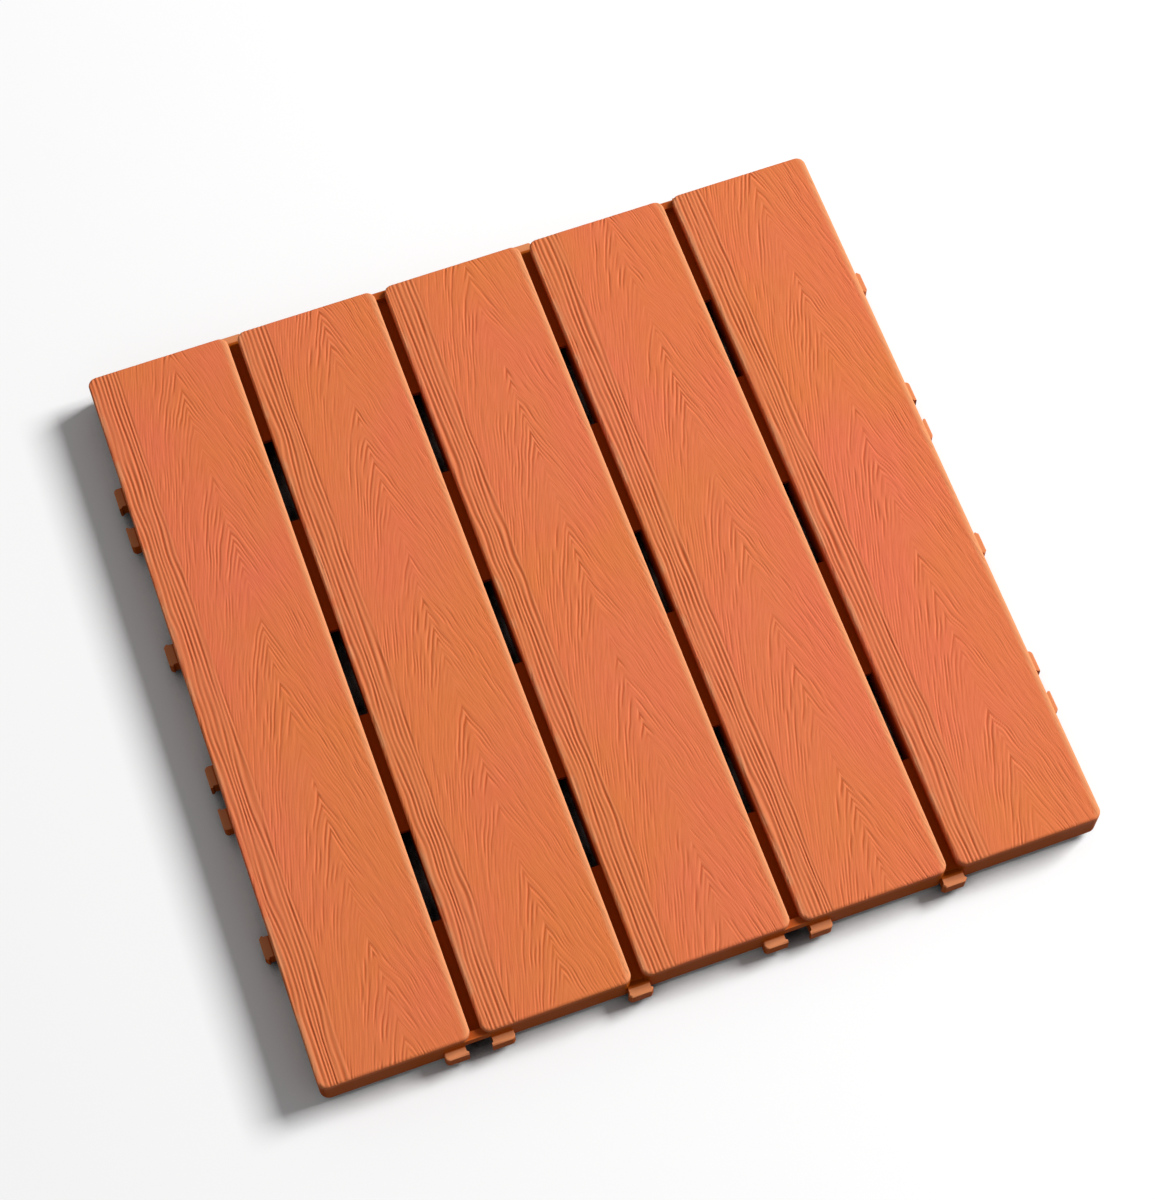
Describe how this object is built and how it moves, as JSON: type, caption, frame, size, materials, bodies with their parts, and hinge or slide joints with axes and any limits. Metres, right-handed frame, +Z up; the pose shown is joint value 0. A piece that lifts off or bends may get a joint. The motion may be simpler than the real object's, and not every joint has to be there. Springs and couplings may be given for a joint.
{
  "type": "interlocking deck tile",
  "caption": "Square plastic outdoor deck tile of parallel wood-grained slats with drain slots between them, short feet below and press-together clips on every edge.",
  "frame": {"origin": "on the ground, under the centre of the tile", "axes": "+Z up out of the walking face, +Y along the slats, +X across them"},
  "size_m": [0.3034, 0.3034, 0.018],
  "materials": {
    "terracotta_plastic": "satin moulded plastic with an embossed wood grain on the slat tops"
  },
  "bodies": {
    "root": {"deck_tile": "terracotta_plastic"}
  },
  "joints": []
}
